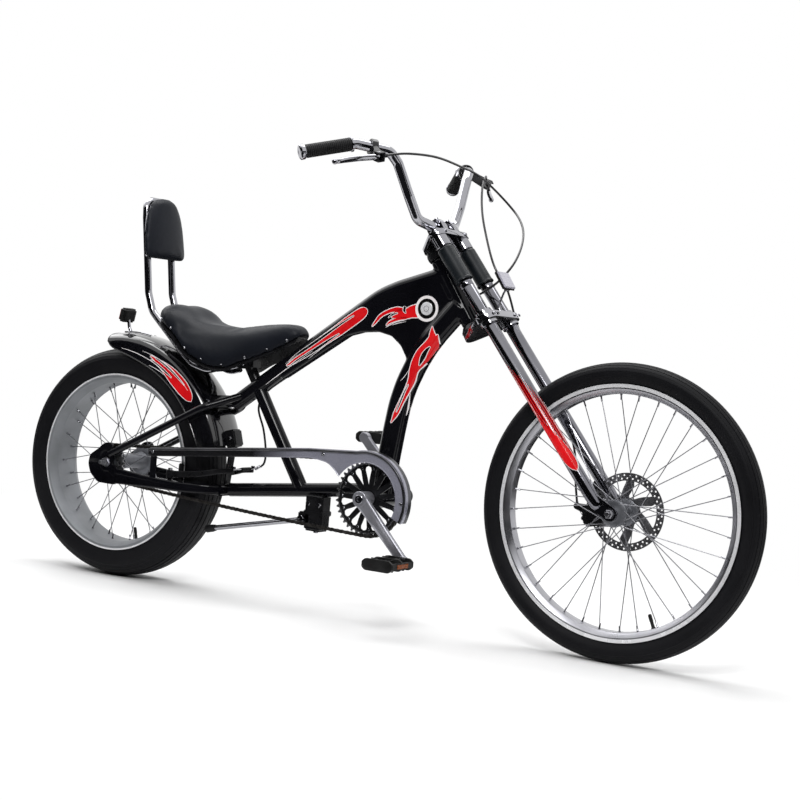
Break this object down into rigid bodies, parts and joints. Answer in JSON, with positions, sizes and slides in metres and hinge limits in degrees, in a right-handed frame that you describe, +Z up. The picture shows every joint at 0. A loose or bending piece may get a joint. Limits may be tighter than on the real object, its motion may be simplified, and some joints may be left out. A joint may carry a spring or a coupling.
{
  "type": "chopper bicycle",
  "caption": "Long low chopper bicycle with a raked fork, high bars, padded seat and backrest, fat rear tyre, chain drive and kickstand.",
  "frame": {"origin": "middle of the underside of the bounding box, on the ground between the tyres", "axes": "+X forward towards the front wheel, +Y to the rider's left, +Z up"},
  "size_m": [1.8354, 0.686, 1.019],
  "materials": {
    "black_paint": "gloss",
    "chrome": "polished",
    "alloy": "satin",
    "guard_silver": "gloss",
    "black_steel": "satin",
    "chain_steel": "oiled",
    "tyre_rubber": "matte",
    "grip_rubber": "matte",
    "black_vinyl": "satin",
    "black_plastic": "matte",
    "clear_lens": "gloss"
  },
  "bodies": {
    "frame": {"head_tube": "black_paint", "top_tube": "black_paint", "down_tube": "black_paint", "tank_web": "black_paint", "seat_tube": "black_paint", "bottom_tube": "black_paint", "chain_stays": "black_paint", "seat_stays": "black_paint", "lower_headset_cup": "black_steel", "upper_headset_cup": "black_steel", "chain": "chain_steel", "chain_guard": "guard_silver", "rear_axle": "alloy", "rear_mudguard": "black_paint", "rear_reflector": "black_plastic", "saddle_cushion": "black_vinyl", "saddle_pan": "black_steel", "seat_post": "chrome", "sissy_bar": "chrome", "backrest_pad": "black_vinyl", "kickstand_bracket": "black_paint", "rear_brake_cable": "grip_rubber"},
    "steering": {"lower_fork_crown": "chrome", "upper_fork_clamp": "chrome", "fork_leg_left": "chrome", "fork_leg_right": "chrome", "fork_sleeve_left": "grip_rubber", "fork_sleeve_right": "grip_rubber", "front_axle": "alloy", "disc_caliper": "black_paint", "handlebar": "chrome", "bar_clamp_left": "chrome", "bar_clamp_right": "chrome", "grip_left": "grip_rubber", "grip_right": "grip_rubber", "lever_perch_left": "black_plastic", "lever_perch_right": "black_plastic", "front_reflector": "clear_lens", "front_reflector_bracket": "chrome", "front_brake_cable": "grip_rubber"},
    "front_wheel": {"front_tyre": "tyre_rubber", "front_rim": "alloy", "front_hub_and_spokes": "alloy", "brake_rotor": "alloy"},
    "rear_wheel": {"rear_tyre": "tyre_rubber", "rear_rim": "alloy", "rear_hub_and_spokes": "alloy"},
    "rear_cog": {"rear_cog": "black_steel"},
    "crank": {"crank_axle": "black_steel", "crank_arm_right": "alloy", "crank_arm_left": "alloy", "chainring": "black_steel"},
    "pedal_right": {"pedal_right": "black_plastic"},
    "pedal_left": {"pedal_left": "black_plastic"},
    "lever_right": {"brake_lever_right": "alloy"},
    "lever_left": {"brake_lever_left": "alloy"},
    "caliper_arm": {"caliper_arm": "alloy"},
    "rear_brake_arm_right": {"rear_brake_arm_right": "alloy"},
    "rear_brake_arm_left": {"rear_brake_arm_left": "alloy"},
    "kickstand": {"kickstand_leg": "chrome"}
  },
  "joints": [
    {"name": "steering_turn", "type": "hinge", "parent": "frame", "child": "steering", "pos_m": [0.2536, 0, 0.64078], "axis": [-0.5621, 0, 0.8271], "range_deg": [-45, 45], "deforming": ["rear_brake_cable"]},
    {"name": "front_wheel_spin", "type": "hinge", "parent": "steering", "child": "front_wheel", "pos_m": [0.6142, 0, 0.3035], "axis": [0, 1, 0], "continuous": true},
    {"name": "rear_wheel_spin", "type": "hinge", "parent": "frame", "child": "rear_wheel", "pos_m": [-0.648, 0, 0.2697], "axis": [0, 1, 0], "continuous": true},
    {"name": "crank_turn", "type": "hinge", "parent": "frame", "child": "crank", "pos_m": [0.06205, 0, 0.268], "axis": [0, 1, 0], "continuous": true},
    {"name": "rear_cog_turn", "type": "hinge", "parent": "frame", "child": "rear_cog", "pos_m": [-0.648, 0, 0.2697], "axis": [0, 1, 0], "continuous": true},
    {"name": "pedal_right_spin", "type": "hinge", "parent": "crank", "child": "pedal_right", "pos_m": [0.17708, -0.158, 0.14971], "axis": [0, 1, 0], "continuous": true},
    {"name": "pedal_left_spin", "type": "hinge", "parent": "crank", "child": "pedal_left", "pos_m": [-0.05299, 0.158, 0.38629], "axis": [0, 1, 0], "continuous": true},
    {"name": "lever_right_pull", "type": "hinge", "parent": "steering", "child": "lever_right", "pos_m": [0.126, -0.245, 0.978], "axis": [-0.2207, 0.3098, -0.9248], "range_deg": [0, 28], "stiffness_Nm_per_rad": 0.4, "springref_deg": -34.38},
    {"name": "lever_left_pull", "type": "hinge", "parent": "steering", "child": "lever_left", "pos_m": [0.126, 0.245, 0.978], "axis": [0.2207, 0.3098, 0.9248], "range_deg": [0, 28], "stiffness_Nm_per_rad": 0.4, "springref_deg": -34.38},
    {"name": "caliper_arm_swing", "type": "hinge", "parent": "steering", "child": "caliper_arm", "pos_m": [0.53986, 0.062, 0.2877], "axis": [0, 1, 0], "range_deg": [0, 18], "stiffness_Nm_per_rad": 0.05, "springref_deg": -22.92},
    {"name": "rear_brake_right_swing", "type": "hinge", "parent": "frame", "child": "rear_brake_arm_right", "pos_m": [-0.472, -0.062, 0.261], "axis": [0, 0, 1], "range_deg": [0, 2.5], "stiffness_Nm_per_rad": 0.1, "springref_deg": -22.92},
    {"name": "rear_brake_left_swing", "type": "hinge", "parent": "frame", "child": "rear_brake_arm_left", "pos_m": [-0.472, 0.062, 0.261], "axis": [0, 0, -1], "range_deg": [0, 2.5], "stiffness_Nm_per_rad": 0.1, "springref_deg": -22.92},
    {"name": "kickstand_swing", "type": "hinge", "parent": "frame", "child": "kickstand", "pos_m": [-0.124, -0.0317, 0.198], "axis": [-0.1, -0.9871, 0.125], "range_deg": [0, 122]}
  ],
  "couplings": [
    {"joint": "rear_cog_turn", "follows": "crank_turn", "ratio": 2},
    {"joint": "caliper_arm_swing", "follows": "lever_left_pull", "ratio": 0.64},
    {"joint": "rear_brake_right_swing", "follows": "lever_right_pull", "ratio": 0.089},
    {"joint": "rear_brake_left_swing", "follows": "lever_right_pull", "ratio": 0.089}
  ]
}
